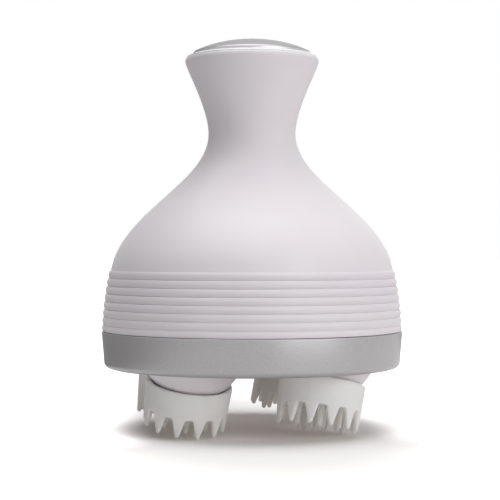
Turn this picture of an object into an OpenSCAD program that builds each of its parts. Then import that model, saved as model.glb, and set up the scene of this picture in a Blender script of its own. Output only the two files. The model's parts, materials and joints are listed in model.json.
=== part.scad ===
// Electric scalp massager: a hand-held housing over four silicone claw cups.
// A motor turns four cranks through one drive gear. Each crank ends in an inclined stub, so its
// cup turns and rocks round a fixed dome of the base plate.
// It stands on its fingertips: Z is up, and the origin lies on the axis at the tips.

/* [Claw cups] */
// Tilt of each cup's axis from the vertical, in degrees
tilt = 14.5; // [12:0.5:16]
// How far the cup's rim stays inside the dome's radius
claw_step = 2.3; // [1.9:0.1:2.6]
// How far the cup's rim stays above the dome's lowest point
claw_rim_rise = 5; // [4.4:0.1:5.3]
// Draft of the cup's wall towards the fingertips, in degrees
claw_draft = 2.75; // [1.5:0.25:3.5]
// Thickness of the silicone palm under the stiff hub
palm_t = 1.1; // [1:0.1:1.4]
// Length of the outer fingers from their roots
finger_l = 5.8; // [5:0.1:7]
// Number of outer fingers
outer_fingers = 12; // [10:1:14]
// Direction of the first finger, from the cup's lowest side, in degrees
finger_phase = 11; // [0:1:30]
// Radius of the rounded gap between two outer fingers
finger_gap_r = 1.35; // [1.1:0.05:1.5]
// Width of an outer finger at its tip
finger_tip_w = 1.4; // [1.2:0.1:1.8]
// Thickness of an outer finger at its root
finger_root_t = 1.9; // [1.5:0.1:2.2]
// Thickness of an outer finger at its tip
finger_tip_t = 1.3; // [1:0.1:1.5]
// Radius of an inner finger at its root
pin_root_r = 0.9; // [0.75:0.05:1.1]
// Radius of an inner finger at its tip
pin_tip_r = 0.65; // [0.5:0.05:0.7]
// Number of inner fingers in the middle row
middle_fingers = 6; // [5:1:7]
// Radius of the middle row of fingers
middle_row_r = 7; // [6.4:0.1:7.6]
// Number of inner fingers in the centre row
centre_fingers = 3; // [3:1:4]
// Radius of the centre row of fingers
centre_row_r = 2.6; // [2.2:0.1:3]
// Direction in which the bottom of cup 1 leans at rest, in degrees
lean_1 = 172; // [0:1:359]
// Direction in which the bottom of cup 2 leans at rest, in degrees
lean_2 = 242; // [0:1:359]
// Direction in which the bottom of cup 3 leans at rest, in degrees
lean_3 = 117; // [0:1:359]
// Direction in which the bottom of cup 4 leans at rest, in degrees
lean_4 = 230; // [0:1:359]

/* [Domes and cranks] */
// Gap between the fixed domes and the silver ring
dome_gap = 0.7; // [0.6:0.05:0.9]
// Wall of the dome
dome_wall = 1.8; // [1.4:0.1:2.2]
// Gap round the stiff hub's boss in the opening of the dome
crank_gap = 0.5; // [0.4:0.05:0.8]
// Radius of the crank's vertical shaft
shaft_r = 3; // [2.8:0.1:3.3]
// Radius of the crank's inclined stub
stub_r = 2.5; // [2.3:0.1:2.7]
// How far the stiff hub's flange stays inside the cup's rim
hub_cover = 2.3; // [2:0.1:2.6]
// Thickness of the stiff hub under the dome
hub_floor_t = 1.1; // [1:0.1:1.4]

/* [Gears] */
// Module of the gear teeth
gear_module = 1; // [0.95:0.01:1.05]
// Teeth of the drive gear
drive_teeth = 32; // [31:1:33]
// Teeth of each head gear
head_teeth = 24; // [23:1:25]
// Width of the teeth
gear_w = 5; // [4:0.1:5.5]
// Play between two meshing teeth at the pitch circle
backlash = 0.2; // [0.15:0.01:0.3]
// Thickness of the web between a gear's rim and its hub
gear_web_t = 2.2; // [1.8:0.1:3]
// Room between the head gears and the housing's spigot
gear_room = 0.9; // [0.7:0.1:1.5]

/* [Ring and base] */
// Height of the silver ring
ring_h = 11.1; // [10.4:0.1:13]
// How much the ring narrows towards its bottom edge
ring_draft = 0.7; // [0.2:0.1:1.2]
// Radius of the ring's rounded bottom edge
ring_edge_r = 1.7; // [1.2:0.1:2]
// Wall of the silver ring
ring_wall = 2.3; // [2:0.1:2.6]
// How far the swing centres lie above the ring's bottom edge
swing_rise = 6.9; // [6.5:0.1:7.2]
// How far the ring stands below the base plate
ring_lip = 2; // [1.6:0.1:2.4]
// Thickness of the base plate
base_t = 2.8; // [2.6:0.1:3.2]
// Width of the ledge inside the ring
ledge_w = 1.9; // [1.6:0.1:2.1]
// Thickness of the ledge inside the ring
ledge_t = 2; // [1.6:0.1:2.4]

/* [Housing] */
// Wall of the housing
shell_wall = 2.2; // [1.8:0.1:2.4]
// Number of ribs round the skirt
rib_count = 8; // [6:1:9]
// Pitch of the ribs
rib_pitch = 2.34; // [2.2:0.02:2.5]
// Depth of the grooves between the ribs
rib_depth = 0.4; // [0.3:0.05:0.5]
// How far the top rib lies inside the bottom rib
rib_taper = 1.9; // [1.4:0.1:2.2]
// Step from the top rib down to the smooth dome of the housing
dome_step = 0.7; // [0.5:0.1:0.9]
// Radius of the neck
neck_r = 13.45; // [13.2:0.05:15]
// Height of the neck above the top rib
neck_rise = 42.1; // [41.5:0.1:45]
// How straight the skirt runs on before it turns in
skirt_pull = 19; // [17:0.5:21]
// Lean of the skirt where it leaves the ribs, in degrees
skirt_lean = 11; // [8:1:14]
// How straight the dome runs into the neck
neck_pull = 15; // [13:0.5:16]
// Radius of the flared top
flare_r = 20.6; // [20.3:0.1:22]
// Height of the flare's widest place above the neck
flare_rise = 22.3; // [21.6:0.1:24]
// Radius of the rounded shoulder at the top edge
shoulder_r = 1.6; // [1.4:0.1:2]
// Height of the rounded shoulder above the flare's widest place
shoulder_h = 1.1; // [0.9:0.1:1.2]

/* [Button and bezel] */
// How far the domed power button stays inside the flare
button_inset = 2.3; // [2.2:0.1:2.6]
// Gap round the button
button_gap = 0.3; // [0.25:0.05:0.5]
// Height of the button's crown over its edge
button_crown = 4.5; // [3.5:0.1:5.5]
// Half-width of the crown's elliptical section over the button's radius
crown_shape = 1.37; // [1.2:0.01:1.6]
// Upright edge of the button that shows above the bezel
button_edge = 0.4; // [0.3:0.05:0.8]
// Wall of the button
button_wall = 1.6; // [1.3:0.1:1.9]
// Travel of the button
button_travel = 0.5; // [0.4:0.05:0.6]
// Height of the bezel's bevel
bezel_h = 1.55; // [1.4:0.05:1.9]
// Thickness of the bezel between its well and the housing's top
well_floor_t = 0.6; // [0.5:0.05:0.7]
// Wall of the housing's top round the bezel's skirt
top_wall = 3; // [2.8:0.05:3.2]

/* [Drive and power] */
// Thickness of the two gear plates
plate_t = 2.5; // [2.2:0.1:3]
// Height of the lower gear plate above the base plate
plate_rise = 6; // [5.8:0.1:6.6]
// Distance between the two gear plates
plate_gap = 9.5; // [9.3:0.1:10.5]
// Radius of the reducer's case
reducer_r = 17; // [15:0.5:18]
// Height of the reducer's case
reducer_h = 9; // [8:0.5:9.5]
// Radius of the motor
motor_r = 12.2; // [11.5:0.1:12.6]
// Length of the motor's can
motor_l = 16.5; // [15:0.5:17]
// Radius of the rechargeable cell
cell_r = 8.3; // [7.8:0.1:8.4]
// Room between the rechargeable cell and the switch board
contact_room = 2.2; // [1.8:0.1:4]
// Bore of the charging socket
socket_bore_r = 1.75; // [1.25:0.05:2]
// Depth of the charging socket
socket_depth = 9; // [8:0.5:10]
// Height of the charging socket above the top rib
socket_rise = 3.7; // [3.5:0.1:4.5]

/* [Hidden] */

shell_colour = "#e7e1e7";
silver_colour = "#a9a8aa";
silicone_colour = "#c9c9c8";
plastic_colour = "#d8d6d2";
steel_colour = "#9a9da0";
brass_colour = "#c8a757";
board_colour = "#2f6a43";
rubber_colour = "#3a3a3c";

eps = 0.5;            // overshoot of cutting bodies
run_gap = 0.04;       // radial play of a shaft in its bush
press_gap = 0.02;     // radial gap of a pressed pair
slip_gap = 0.2;       // gap of parts pushed together by hand
round_fn = 96;
small_fn = 32;

// Fasteners
screw_r = 1.25;
screw_hole_r = 1.45;
screw_head_r = 2.3;
screw_head_h = 1.7;

// Radii from the gears outwards: heads, spigot of the housing, base and ring
head_row_r = gear_module * (drive_teeth + head_teeth) / 2;
head_tip_r = gear_module * (head_teeth / 2 + 1);
spigot_wall = 1.8;
spigot_in_r = head_row_r + head_tip_r + gear_room;
base_r = spigot_in_r + spigot_wall;
ring_in_r = base_r + slip_gap;
ring_r = ring_in_r + ring_wall;
ledge_r = ring_in_r - ledge_w;
dome_r = ring_in_r - head_row_r - dome_gap;

// Cup and hub, measured along the cup's axis from the swing centre
claw_r = dome_r - claw_step;
claw_rim_d = dome_r - claw_rim_rise;
cup_gap = 0.4;
cup_in_r = dome_r + cup_gap;
hub_in_r = dome_r + 0.5;
hub_bottom_d = hub_in_r + hub_floor_t;
palm_d = hub_bottom_d + palm_t;
claw_root_d = palm_d + 0.3;
claw_reach_d = claw_root_d + finger_l;
hub_r = claw_r - hub_cover;
hub_flange_t = 2;
hub_neck_r = hub_r - 1.2;
pocket_gap = 0.05;
stub_d = hub_bottom_d - 1.7;
stub_flat = 0.6;
hub_boss_r = stub_r + 1.3;
hub_boss_d = stub_d - 2.7;
lip_r = 0.55;
function claw_out(d) = claw_r - (d - claw_rim_d) * tan(claw_draft);
dome_open_r = dome_r * sin(tilt) + hub_boss_r * cos(tilt) + crank_gap;

// Swing centre of the cups: the lowest fingertip touches z = 0
finger_pitch = 360 / outer_fingers;
phase_in_pitch = finger_phase % finger_pitch;
low_finger = min(phase_in_pitch, finger_pitch - phase_in_pitch);
tip_round = finger_tip_t / 2;
tip_d = claw_reach_d - tip_round;
tip_row_r = claw_out(tip_d) - tip_round;
swing_z = tip_d * cos(tilt) + tip_row_r * sin(tilt) * cos(low_finger) + tip_round;
leans = [lean_1, lean_2, lean_3, lean_4];

// Heights, from the ring upwards
ring_z0 = swing_z - swing_rise;
ring_z1 = ring_z0 + ring_h;
base_z0 = ring_z0 + ring_lip;
base_z1 = base_z0 + base_t;
ledge_z1 = base_z1 + ledge_t;
joint_gap = 0.15;
shell_z0 = ring_z1 + joint_gap;
rib_hide = 0.25;      // how far the lowest rib starts below the ring's top
rib_z0 = ring_z1 - rib_hide;
rib_z1 = rib_z0 + rib_count * rib_pitch;
neck_z = rib_z1 + neck_rise;
flare_z = neck_z + flare_rise;
shell_z1 = flare_z + shoulder_h;
lower_z0 = base_z1 + plate_rise;
lower_z1 = lower_z0 + plate_t;
upper_z0 = lower_z1 + plate_gap;
upper_z1 = upper_z0 + plate_t;
reducer_z1 = upper_z1 + reducer_h;
motor_z1 = reducer_z1 + motor_l;
bezel_z1 = shell_z1 + bezel_h;
well_z0 = shell_z1 + well_floor_t;
bezel_floor_t = 1.5;
bezel_floor_z0 = well_z0 - bezel_floor_t;

// Radii of the ribbed skirt
crest_inset = 0.1;
taper_curve = 1.6;
rib_bulge_r = (rib_pitch * rib_pitch / 4 + rib_depth * rib_depth) / (2 * rib_depth);
rib_core = rib_depth + 0.15;
function crest_r(k) = ring_r - crest_inset - rib_taper * pow(k / (rib_count - 1), taper_curve);
dome_edge_r = crest_r(rib_count - 1) - dome_step;

// Curves of the housing, as Bezier handles
skirt = [[dome_edge_r, rib_z1],
         [dome_edge_r - skirt_pull * sin(skirt_lean), rib_z1 + skirt_pull * cos(skirt_lean)],
         [neck_r, neck_z - neck_pull], [neck_r, neck_z]];
flare_pull = 8;
flare_end_pull = 2;
flare = [[neck_r, neck_z], [neck_r, neck_z + flare_pull],
         [flare_r, flare_z - flare_end_pull], [flare_r, flare_z]];
skirt_steps = 18;
flare_steps = 12;
function bezier(p, t) = pow(1 - t, 3) * p[0] + 3 * pow(1 - t, 2) * t * p[1]
    + 3 * (1 - t) * t * t * p[2] + pow(t, 3) * p[3];
function slope(p, t) = 3 * pow(1 - t, 2) * (p[1] - p[0]) + 6 * (1 - t) * t * (p[2] - p[1])
    + 3 * t * t * (p[3] - p[2]);
function inward(p, t, wall) = bezier(p, t) + wall / norm(slope(p, t)) * [-slope(p, t)[1], slope(p, t)[0]];

// Screw posts and plates
case_post_row = ring_in_r - 5.7;
case_post_r = 3.4;
case_boss_gap = 0.2;
case_screw_l = 16;
case_boss_z0 = lower_z1 + 0.7;
case_boss_z1 = rib_z1 - 2.4;
case_seat_z = base_z0 + screw_head_h + 0.4;
frame_post_row = ring_in_r - 13.9;
frame_post_r = 3;
gear_plate_r = spigot_in_r - 1.5;
post_clear = 0.5;
groove_in = 1.3;
groove_h = 1.5;
base_seal_r = 0.7;

// Bushes and seals
bush_wall = 1.6;
bush_r = shaft_r + bush_wall;
flange_r = bush_r + 1.2;
flange_t = 1;
seal_r = shaft_r + 2.4;
seal_t = 1.6;
seal_cup_t = 1.85;
drive_shaft_r = 2.5;
drive_bush_r = drive_shaft_r + bush_wall;
axial_play = 0.2;
hub_z0 = lower_z1 + flange_t + axial_play;
hub_z1 = upper_z0 - flange_t - axial_play;
gear_mid_z = (hub_z0 + hub_z1) / 2;

// Button and its switch
button_r = flare_r - button_inset;
cap_z0 = well_z0 + button_travel + 0.2;
cap_edge_z = bezel_z1 + button_edge;
cap_top_z = cap_edge_z + button_crown;
cap_skirt_t = 1.2;
bezel_bore_r = flare_r - top_wall;
bezel_skirt_r = bezel_bore_r - 0.1;
bezel_skirt_l = 3.7;
bezel_skirt_t = 1.6;
bezel_seal_r = 0.5;
bezel_seal_z = shell_z1 - 1.5;
board_r = bezel_skirt_r - bezel_skirt_t - 0.7;
board_post_row = board_r - 1.3;
board_post_r = 1.3;
board_t = 1.2;
board_drop = 3.2;
board_z1 = bezel_floor_z0 - board_drop;
guide_hole_r = board_post_row - board_post_r - 0.7;
guide_r = guide_hole_r - button_gap;
guide_wall = 1.2;
clip_out = 1.3;
clip_h = 1;
clip_gap = 0.1;
switch_w = 6;
switch_h = 3.5;
switch_top_z = board_z1 + switch_h;
plunger_r = 1.7;
plunger_in = 0.6;
plunger_out = 1.2;
plunger_z1 = switch_top_z + plunger_out;
small_screw_r = 0.7;
small_head_r = 1.2;
small_head_h = 1;

// Cell frame and boards
frame_gap = 0.3;
frame_wall = 1.4;
frame_floor_t = 1.25;
motor_boss_h = 1.2;
cell_z0 = motor_z1 + motor_boss_h + 0.35 + frame_floor_t;
cell_z1 = board_z1 - board_t - contact_room;
cell_l = cell_z1 - cell_z0;
sleeve_r = cell_r + slip_gap + 1.2;
main_board_size = [30, 13, 1.6];
main_board_y = main_board_size[1] / 2 - sqrt(pow(ring_in_r - 5.1, 2) - pow(main_board_size[0] / 2, 2));
main_board_rise = 4;
main_board_z1 = upper_z1 + main_board_rise + main_board_size[2];
socket_z = rib_z1 + socket_rise;
socket_nose_r = 4;
socket_flange_r = 5.5;
socket_face_y = ring_r - 4.9;
socket_seat_y = socket_face_y - 7.3;
socket_body_l = 4.2;
socket_boss_r = 6.2;
reducer_screw_row = reducer_r + 1.6;
reducer_flange_h = 2;
pilot_r = 7;

// Leads and the tabs and pads that they are soldered to
lead_r = 0.5;
bend_swell = 0.1;
motor_bend_swell = 0.3;
tab_row = motor_r - 5.2;
tab_w = 2.4;
tab_t = 0.5;
pad_y = main_board_y + main_board_size[1] / 2 - 1.5;
pad_pitch = 1.9;
pad_rise = 5.9;       // height over the pad at which a lead turns down
skirt_run_r = motor_r + 4.3;
function pad_x(k) = main_board_size[0] / 2 - 2.6 - pad_pitch * k;
function polar(r, a, z) = [r * cos(a), r * sin(a), z];
neck_run_r = sleeve_r + lead_r + 0.3;

// Places and frames shared by several parts
function head_angle(i) = 45 + 90 * (i - 1);

module at_head(i) {
    rotate(head_angle(i)) translate([head_row_r, 0, 0]) rotate(-head_angle(i)) children();
}

module at_heads() {
    for (i = [1:4]) at_head(i) children();
}

// The cup's own frame: the origin is the swing centre, +Z runs down the stub
// and +X points to the cup's lowest side
module cup_frame(i) {
    at_head(i) translate([0, 0, swing_z]) rotate([0, 0, leans[i - 1]]) rotate([0, 180 - tilt, 0])
        children();
}

module on_axes(row) {
    for (a = [0:90:270]) rotate(a) translate([row, 0, 0]) children();
}

// Screw with its head's seat at z = 0 and the shank along -Z
module screw(r, l, head_r, head_h) {
    translate([0, 0, -l]) cylinder(r = r, h = l + head_h / 2, $fn = small_fn);
    difference() {
        rotate_extrude($fn = small_fn)
            polygon([[0, 0], [head_r, 0], [head_r, head_h * 0.5], [head_r * 0.75, head_h], [0, head_h]]);
        for (a = [0, 90]) rotate(a)
            translate([-head_r * 0.55, -head_r * 0.12, head_h * 0.45])
                cube([head_r * 1.1, head_r * 0.24, head_h]);
    }
}

// Ring, base and housing

module silver_ring() {
    color(silver_colour) rotate_extrude($fn = round_fn) difference() {
        union() {
            polygon([[ledge_r, ring_z0 + ring_edge_r], [ring_r - ring_draft, ring_z0 + ring_edge_r],
                     [ring_r, ring_z1 - 0.25], [ring_r - 0.25, ring_z1], [ledge_r, ring_z1]]);
            translate([ring_r - ring_draft - ring_edge_r, ring_z0 + ring_edge_r])
                circle(r = ring_edge_r, $fn = small_fn);
        }
        translate([0, ring_z0 - eps]) square([ring_in_r, base_z1 - ring_z0 + eps]);
        translate([0, ledge_z1]) square([ring_in_r, ring_h]);
    }
}

module base_plate() {
    color(shell_colour) difference() {
        union() {
            translate([0, 0, base_z0]) cylinder(r = base_r, h = base_t, $fn = round_fn);
            intersection() {
                at_heads() translate([0, 0, swing_z]) sphere(r = dome_r, $fn = round_fn);
                translate([-ring_r, -ring_r, 0]) cube([2 * ring_r, 2 * ring_r, base_z1]);
            }
            on_axes(case_post_row) translate([0, 0, base_z0 + eps])
                cylinder(r = case_post_r, h = case_boss_z0 - base_z0 - eps, $fn = small_fn);
            on_axes(frame_post_row) translate([0, 0, base_z0 + eps])
                cylinder(r = frame_post_r, h = lower_z0 - base_z0 - eps, $fn = small_fn);
        }
        base_groove();
        at_heads() {
            translate([0, 0, swing_z]) sphere(r = dome_r - dome_wall, $fn = round_fn);
            cylinder(r = dome_open_r, h = swing_z, $fn = round_fn);
        }
        on_axes(case_post_row) {
            cylinder(r = screw_hole_r, h = ring_z1 + ring_h, $fn = small_fn);
            cylinder(r = screw_head_r + slip_gap, h = case_seat_z, $fn = small_fn);
        }
        on_axes(frame_post_row) translate([0, 0, base_z1])
            cylinder(r = screw_r + run_gap, h = ring_h, $fn = small_fn);
    }
}

// Groove round the base plate for its seal
module base_groove() {
    translate([0, 0, (base_z0 + base_z1 - groove_h) / 2]) difference() {
        cylinder(r = base_r + eps, h = groove_h, $fn = round_fn);
        translate([0, 0, -eps]) cylinder(r = base_r - groove_in, h = groove_h + 2 * eps, $fn = round_fn);
    }
}

module seal_ring(row, r, z) {
    color(rubber_colour) rotate_extrude($fn = round_fn) translate([row, z]) circle(r = r, $fn = small_fn);
}

module base_seal() {
    seal_ring(ring_in_r - base_seal_r - 0.05, base_seal_r, (base_z0 + base_z1) / 2);
}

module shell_outline() {
    polygon(concat(
        [[0, shell_z0], [crest_r(0) - rib_core, shell_z0]],
        [for (k = [0:rib_count - 1]) [crest_r(k) - rib_core, rib_z0 + (k + 0.5) * rib_pitch]],
        [for (k = [0:skirt_steps]) bezier(skirt, k / skirt_steps)],
        [for (k = [1:flare_steps]) bezier(flare, k / flare_steps)],
        [[flare_r - shoulder_r, shell_z1], [0, shell_z1]]));
    intersection() {
        for (k = [0:rib_count - 1])
            translate([crest_r(k) - rib_bulge_r, rib_z0 + (k + 0.5) * rib_pitch])
                circle(r = rib_bulge_r, $fn = 64);
        translate([0, shell_z0]) square([ring_r + eps, rib_z1 - shell_z0 + rib_pitch]);
    }
    intersection() {
        translate([flare_r - shoulder_r, flare_z]) circle(r = shoulder_r, $fn = 64);
        translate([0, flare_z]) square([flare_r + eps, shoulder_h]);
    }
}

module shell_cavity() {
    polygon(concat(
        [[0, ledge_z1 - eps], [spigot_in_r, ledge_z1 - eps], [spigot_in_r, shell_z0 + 1.5],
         [crest_r(0) - rib_depth - shell_wall, shell_z0 + 3]],
        [for (k = [0:skirt_steps]) inward(skirt, k / skirt_steps, shell_wall)],
        [for (k = [1:flare_steps]) let (p = inward(flare, k / flare_steps, shell_wall))
            [min(p[0], bezel_bore_r), p[1]]],
        [[bezel_bore_r, shell_z1 + eps], [0, shell_z1 + eps]]));
    translate([0, shell_z1 - bezel_skirt_l - 0.3]) square([bezel_bore_r, bezel_skirt_l]);
}

module main_shell() {
    color(shell_colour) difference() {
        union() {
            rotate_extrude($fn = round_fn) difference() {
                union() {
                    shell_outline();
                    translate([spigot_in_r - 1, ledge_z1]) square([spigot_wall + 1, shell_z0 - ledge_z1 + 1]);
                }
                shell_cavity();
            }
            case_bosses();
            intersection() {
                translate([0, socket_seat_y, socket_z]) rotate([-90, 0, 0])
                    cylinder(r = socket_boss_r, h = ring_r - socket_seat_y, $fn = small_fn);
                rotate_extrude($fn = round_fn) shell_outline();
            }
        }
        translate([0, 0, socket_z]) rotate([-90, 0, 0]) {
            cylinder(r = socket_nose_r + 0.1, h = ring_r, $fn = small_fn);
            translate([0, 0, socket_face_y]) cylinder(r = socket_nose_r + 0.9, h = ring_r, $fn = small_fn);
        }
    }
}

// Screw bosses of the housing, each tied to the wall by a web
module case_bosses() {
    web_t = 1.8;
    boss_z0 = case_boss_z0 + case_boss_gap;
    on_axes(case_post_row) difference() {
        union() {
            translate([0, 0, boss_z0]) cylinder(r = case_post_r, h = case_boss_z1 - boss_z0, $fn = small_fn);
            translate([0, -web_t / 2, boss_z0 + 1])
                cube([crest_r(rib_count - 1) - rib_depth - shell_wall - case_post_row + 0.9, web_t,
                      case_boss_z1 - boss_z0 - 1]);
        }
        cylinder(r = screw_r + run_gap, h = case_seat_z + case_screw_l + 2, $fn = small_fn);
    }
}

module case_screws() {
    color(steel_colour) on_axes(case_post_row) translate([0, 0, case_seat_z]) rotate([180, 0, 0])
        screw(screw_r, case_screw_l, screw_head_r, screw_head_h);
}

// Bezel and button

module top_bezel() {
    groove_h = 2 * bezel_seal_r + 0.3;
    color("#f2f0f2") difference() {
        union() {
            rotate_extrude($fn = round_fn) difference() {
                polygon([[0, shell_z1 - bezel_skirt_l], [bezel_skirt_r, shell_z1 - bezel_skirt_l],
                         [bezel_skirt_r, shell_z1], [button_r + button_gap + bezel_h, shell_z1],
                         [button_r + button_gap + 0.1, bezel_z1], [0, bezel_z1]]);
                translate([0, well_z0]) square([button_r + button_gap, bezel_h]);
                square([guide_hole_r, bezel_z1]);
                square([bezel_skirt_r - bezel_skirt_t, bezel_floor_z0]);
                translate([bezel_skirt_r - 2 * bezel_seal_r, bezel_seal_z - groove_h / 2]) square([2, groove_h]);
            }
            board_posts() translate([0, 0, board_z1])
                cylinder(r = board_post_r, h = board_drop + eps, $fn = small_fn);
        }
        board_posts() translate([0, 0, board_z1 - eps])
            cylinder(r = small_screw_r + run_gap, h = board_drop, $fn = small_fn);
    }
}

module board_posts() {
    for (a = [30, 150, 270]) rotate(a) translate([board_post_row, 0, 0]) children();
}

module bezel_seal() {
    seal_ring(bezel_bore_r - bezel_seal_r - 0.05, bezel_seal_r, bezel_seal_z);
}

// Height of the crown at radius r, for a crown set in by the wall w
function crown_z(r, w) = let (a = crown_shape * button_r, edge = sqrt(1 - 1 / (crown_shape * crown_shape)))
    cap_edge_z + button_crown * (sqrt(1 - r * r / (a * a)) - edge) / (1 - edge) - w;

module power_button() {
    crown_steps = 16;
    in_r = button_r - cap_skirt_t;
    clip_z1 = bezel_floor_z0 - clip_gap;
    color(silver_colour) {
        rotate_extrude($fn = round_fn) {
            difference() {
                polygon(concat([[0, cap_z0], [button_r, cap_z0], [button_r, cap_edge_z - 0.15]],
                    [for (k = [crown_steps:-1:0]) let (r = (button_r - 0.15) * k / crown_steps)
                        [r, crown_z(r, 0)]]));
                polygon(concat([[0, cap_z0 - eps], [in_r, cap_z0 - eps]],
                    [for (k = [crown_steps:-1:0]) let (r = in_r * k / crown_steps)
                        [r, crown_z(r, button_wall)]]));
            }
            translate([guide_r - guide_wall, clip_z1 - clip_h - 0.6])
                square([guide_wall, crown_z(guide_r, button_wall) + 0.3 - clip_z1 + clip_h + 0.6]);
            translate([0, plunger_z1]) square([2, cap_top_z - button_wall + 0.3 - plunger_z1]);
        }
        for (a = [90, 210, 330]) rotate(a - 12) rotate_extrude(angle = 24, $fn = round_fn)
            polygon([[guide_r - 0.3, clip_z1 - clip_h - 0.6], [guide_r, clip_z1 - clip_h - 0.6],
                     [guide_r + clip_out, clip_z1 - 0.4], [guide_r + clip_out, clip_z1], [guide_r - 0.3, clip_z1]]);
    }
}

module switch_plunger() {
    color("#1f1f22") translate([0, 0, switch_top_z - plunger_in])
        cylinder(r = plunger_r, h = plunger_in + plunger_out, $fn = small_fn);
}

module tact_switch() {
    color("#2b2b2e") difference() {
        translate([-switch_w / 2, -switch_w / 2, board_z1]) cube([switch_w, switch_w, switch_h]);
        translate([0, 0, switch_top_z - plunger_in - button_travel - 0.1])
            cylinder(r = plunger_r + 0.1, h = switch_h, $fn = small_fn);
    }
}

module switch_board() {
    color(board_colour) translate([0, 0, board_z1 - board_t]) difference() {
        cylinder(r = board_r, h = board_t, $fn = 64);
        board_posts() translate([0, 0, -eps]) cylinder(r = small_screw_r + 0.15, h = board_t + 2 * eps, $fn = small_fn);
    }
}

module switch_board_screws() {
    color(steel_colour) board_posts() translate([0, 0, board_z1 - board_t]) rotate([180, 0, 0])
        screw(small_screw_r, board_t + 2.4, small_head_r, small_head_h);
}

// Gear plates, bushes and seals

module lower_gear_plate() {
    cup_r = seal_r + 1.5;
    color(plastic_colour) difference() {
        union() {
            translate([0, 0, lower_z0]) cylinder(r = gear_plate_r, h = plate_t, $fn = round_fn);
            at_heads() translate([0, 0, lower_z0 - seal_cup_t]) cylinder(r = cup_r, h = seal_cup_t + eps, $fn = 64);
            translate([0, 0, lower_z0 - seal_cup_t]) cylinder(r = cup_r, h = seal_cup_t + eps, $fn = 64);
        }
        at_heads() {
            translate([0, 0, lower_z0 - ring_h]) cylinder(r = bush_r + press_gap, h = 2 * ring_h, $fn = 64);
            translate([0, 0, lower_z0 - ring_h]) cylinder(r = seal_r + 0.05, h = ring_h, $fn = 64);
        }
        translate([0, 0, lower_z0]) cylinder(r = drive_bush_r + press_gap, h = ring_h, $fn = 64);
        on_axes(case_post_row) cylinder(r = case_post_r + post_clear, h = upper_z0, $fn = small_fn);
        on_axes(frame_post_row) cylinder(r = screw_hole_r, h = upper_z0, $fn = small_fn);
        for (a = [0:90:270]) rotate(a) translate([(frame_post_row - frame_post_r + 2) / 2, 0, lower_z0 - eps])
            cylinder(r = frame_post_row / 6, h = plate_t + 2 * eps, $fn = 64);
    }
}

module upper_gear_plate() {
    color(plastic_colour) difference() {
        union() {
            translate([0, 0, upper_z0]) cylinder(r = gear_plate_r, h = plate_t, $fn = round_fn);
            on_axes(frame_post_row) translate([0, 0, lower_z1])
                cylinder(r = frame_post_r, h = plate_gap + eps, $fn = small_fn);
            board_feet() cylinder(r = 2.6, h = main_board_rise + eps, $fn = small_fn);
        }
        at_heads() translate([0, 0, upper_z0 - eps])
            cylinder(r = bush_r + press_gap, h = plate_t + 2 * eps, $fn = 64);
        translate([0, 0, upper_z0 - eps]) cylinder(r = pilot_r + slip_gap / 2, h = plate_t + 2 * eps, $fn = 64);
        on_axes(case_post_row) translate([0, 0, upper_z0 - eps])
            cylinder(r = case_post_r + post_clear, h = ring_h, $fn = small_fn);
        on_axes(frame_post_row) cylinder(r = screw_hole_r, h = upper_z1 + eps, $fn = small_fn);
        board_feet() translate([0, 0, 0.5]) cylinder(r = small_screw_r + run_gap, h = main_board_rise + 1, $fn = small_fn);
        reducer_ears() translate([0, 0, upper_z0 - eps]) cylinder(r = small_screw_r + 0.3 + run_gap, h = plate_t + 2 * eps, $fn = small_fn);
    }
}

module board_feet() {
    for (side = [-1, 1]) translate([side * (main_board_size[0] / 2 - 4), main_board_y, upper_z1 - eps])
        children();
}

module frame_screws() {
    color(steel_colour) on_axes(frame_post_row) translate([0, 0, upper_z1])
        screw(screw_r, upper_z1 - base_z1 - 1, screw_head_r, screw_head_h);
}

module shaft_seals() {
    color(rubber_colour) at_heads() translate([0, 0, lower_z0 - seal_t]) difference() {
        cylinder(r = seal_r, h = seal_t, $fn = 64);
        translate([0, 0, -eps]) cylinder(r = shaft_r + 0.08, h = seal_t + 2 * eps, $fn = 64);
    }
}

module bush(r_out, r_in, l, flange) {
    difference() {
        union() {
            cylinder(r = r_out, h = l, $fn = 64);
            cylinder(r = flange, h = flange_t, $fn = 64);
        }
        translate([0, 0, -eps]) cylinder(r = r_in, h = l + 2 * eps, $fn = 64);
    }
}

module lower_bushes() {
    color(brass_colour) at_heads() translate([0, 0, lower_z1 + flange_t]) mirror([0, 0, 1])
        bush(bush_r, shaft_r + run_gap, plate_t + flange_t, flange_r);
}

module upper_bushes() {
    color(brass_colour) at_heads() translate([0, 0, upper_z0 - flange_t])
        bush(bush_r, shaft_r + run_gap, plate_t + flange_t, flange_r);
}

module drive_bush() {
    color(brass_colour) translate([0, 0, lower_z1 + flange_t]) mirror([0, 0, 1])
        bush(drive_bush_r, drive_shaft_r + run_gap, plate_t + flange_t, drive_bush_r + 1.2);
}

// Gears: involute teeth with straight-line flanks between a few true points
pressure_angle = 20;
function rad_deg(x) = x * 180 / PI;
function inv_angle(rb, r) = rad_deg(sqrt(r * r / (rb * rb) - 1)) - acos(rb / r);
function flank(teeth, r) = let (rp = gear_module * teeth / 2, rb = rp * cos(pressure_angle))
    90 / teeth - rad_deg(backlash / (4 * rp)) + inv_angle(rb, rp) - inv_angle(rb, max(r, rb));
function on_circle(r, a) = [r * cos(a), r * sin(a)];

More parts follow.
